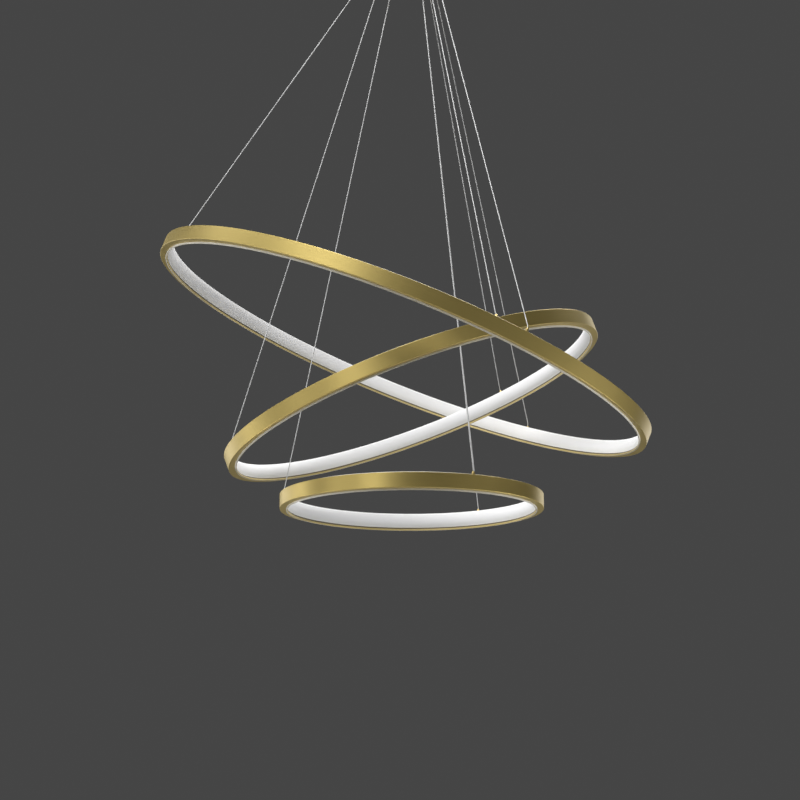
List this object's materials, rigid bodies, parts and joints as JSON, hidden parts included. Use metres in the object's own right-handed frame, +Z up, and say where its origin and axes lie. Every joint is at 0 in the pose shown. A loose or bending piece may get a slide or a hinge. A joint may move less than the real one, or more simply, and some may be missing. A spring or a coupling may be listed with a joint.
{
  "type": "led ring chandelier",
  "caption": "Pendant light with concentric gold channel rings, opal diffusers facing inwards, hung at different tilts on steel cables from a round ceiling canopy.",
  "frame": {"origin": "centre of the canopy's ceiling face", "axes": "+Z up to the ceiling, -Y towards the side that faces the viewer, -X towards the side where the large ring is raised"},
  "size_m": [0.751, 0.8, 0.9315],
  "materials": {
    "gold_aluminium": "satin brushed",
    "opal_diffuser": "satin opal",
    "light_strip": "matt",
    "canopy_gold": "satin",
    "gold_fittings": "satin",
    "cable_steel": "stranded",
    "zinc_steel": "zinc plated",
    "driver_plastic": "matt",
    "terminal_plastic": "matt",
    "black_rubber": "matt"
  },
  "bodies": {
    "canopy": {"ceiling_plate": "zinc_steel", "canopy_cup": "canopy_gold", "side_screws": "gold_fittings", "mains_bush": "black_rubber", "terminal_block": "terminal_plastic", "earth_stud": "gold_fittings", "driver_large": "driver_plastic", "driver_medium": "driver_plastic", "driver_small": "driver_plastic", "driver_screws": "zinc_steel", "grip_barrels": "gold_fittings", "grip_nuts": "zinc_steel", "grip_caps": "gold_fittings", "large_cable_left": "cable_steel", "large_cable_front": "cable_steel", "large_cable_back": "cable_steel", "medium_cable_left": "cable_steel", "medium_cable_front": "cable_steel", "medium_cable_back": "cable_steel", "small_cable_left": "cable_steel", "small_cable_front": "cable_steel", "small_cable_back": "cable_steel"},
    "large_ring": {"large_channel": "gold_aluminium", "large_diffuser": "opal_diffuser", "large_light_strip": "light_strip", "large_joiner": "zinc_steel", "large_joiner_screws": "zinc_steel", "large_anchors": "gold_fittings", "large_anchor_nuts": "gold_fittings"},
    "medium_ring": {"medium_channel": "gold_aluminium", "medium_diffuser": "opal_diffuser", "medium_light_strip": "light_strip", "medium_joiner": "zinc_steel", "medium_joiner_screws": "zinc_steel", "medium_anchors": "gold_fittings", "medium_anchor_nuts": "gold_fittings"},
    "small_ring": {"small_channel": "gold_aluminium", "small_diffuser": "opal_diffuser", "small_light_strip": "light_strip", "small_joiner": "zinc_steel", "small_joiner_screws": "zinc_steel", "small_anchors": "gold_fittings", "small_anchor_nuts": "gold_fittings"},
    "large_plunger_left": {"large_plunger_left": "gold_fittings"},
    "large_plunger_front": {"large_plunger_front": "gold_fittings"},
    "large_plunger_back": {"large_plunger_back": "gold_fittings"},
    "medium_plunger_left": {"medium_plunger_left": "gold_fittings"},
    "medium_plunger_front": {"medium_plunger_front": "gold_fittings"},
    "medium_plunger_back": {"medium_plunger_back": "gold_fittings"},
    "small_plunger_left": {"small_plunger_left": "gold_fittings"},
    "small_plunger_front": {"small_plunger_front": "gold_fittings"},
    "small_plunger_back": {"small_plunger_back": "gold_fittings"}
  },
  "joints": [
    {"name": "large_ring_height", "type": "slide", "parent": "canopy", "child": "large_ring", "axis": [0, 0, 1], "range_m": [0, 0.15], "deforming": ["large_cable_left", "large_cable_front", "large_cable_back"]},
    {"name": "medium_ring_height", "type": "slide", "parent": "canopy", "child": "medium_ring", "axis": [0, 0, 1], "range_m": [0, 0.1], "deforming": ["medium_cable_left", "medium_cable_front", "medium_cable_back"]},
    {"name": "small_ring_height", "type": "slide", "parent": "canopy", "child": "small_ring", "axis": [0, 0, 1], "range_m": [0, 0.15], "deforming": ["small_cable_left", "small_cable_front", "small_cable_back"]},
    {"name": "large_plunger_left_push", "type": "slide", "parent": "canopy", "child": "large_plunger_left", "axis": [0, 0, 1], "range_m": [0, 0.0025], "stiffness_N_per_m": 500, "springref_m": -0.001},
    {"name": "large_plunger_front_push", "type": "slide", "parent": "canopy", "child": "large_plunger_front", "axis": [0, 0, 1], "range_m": [0, 0.0025], "stiffness_N_per_m": 500, "springref_m": -0.001},
    {"name": "large_plunger_back_push", "type": "slide", "parent": "canopy", "child": "large_plunger_back", "axis": [0, 0, 1], "range_m": [0, 0.0025], "stiffness_N_per_m": 500, "springref_m": -0.001},
    {"name": "medium_plunger_left_push", "type": "slide", "parent": "canopy", "child": "medium_plunger_left", "axis": [0, 0, 1], "range_m": [0, 0.0025], "stiffness_N_per_m": 500, "springref_m": -0.001},
    {"name": "medium_plunger_front_push", "type": "slide", "parent": "canopy", "child": "medium_plunger_front", "axis": [0, 0, 1], "range_m": [0, 0.0025], "stiffness_N_per_m": 500, "springref_m": -0.001},
    {"name": "medium_plunger_back_push", "type": "slide", "parent": "canopy", "child": "medium_plunger_back", "axis": [0, 0, 1], "range_m": [0, 0.0025], "stiffness_N_per_m": 500, "springref_m": -0.001},
    {"name": "small_plunger_left_push", "type": "slide", "parent": "canopy", "child": "small_plunger_left", "axis": [0, 0, 1], "range_m": [0, 0.0025], "stiffness_N_per_m": 500, "springref_m": -0.001},
    {"name": "small_plunger_front_push", "type": "slide", "parent": "canopy", "child": "small_plunger_front", "axis": [0, 0, 1], "range_m": [0, 0.0025], "stiffness_N_per_m": 500, "springref_m": -0.001},
    {"name": "small_plunger_back_push", "type": "slide", "parent": "canopy", "child": "small_plunger_back", "axis": [0, 0, 1], "range_m": [0, 0.0025], "stiffness_N_per_m": 500, "springref_m": -0.001}
  ]
}
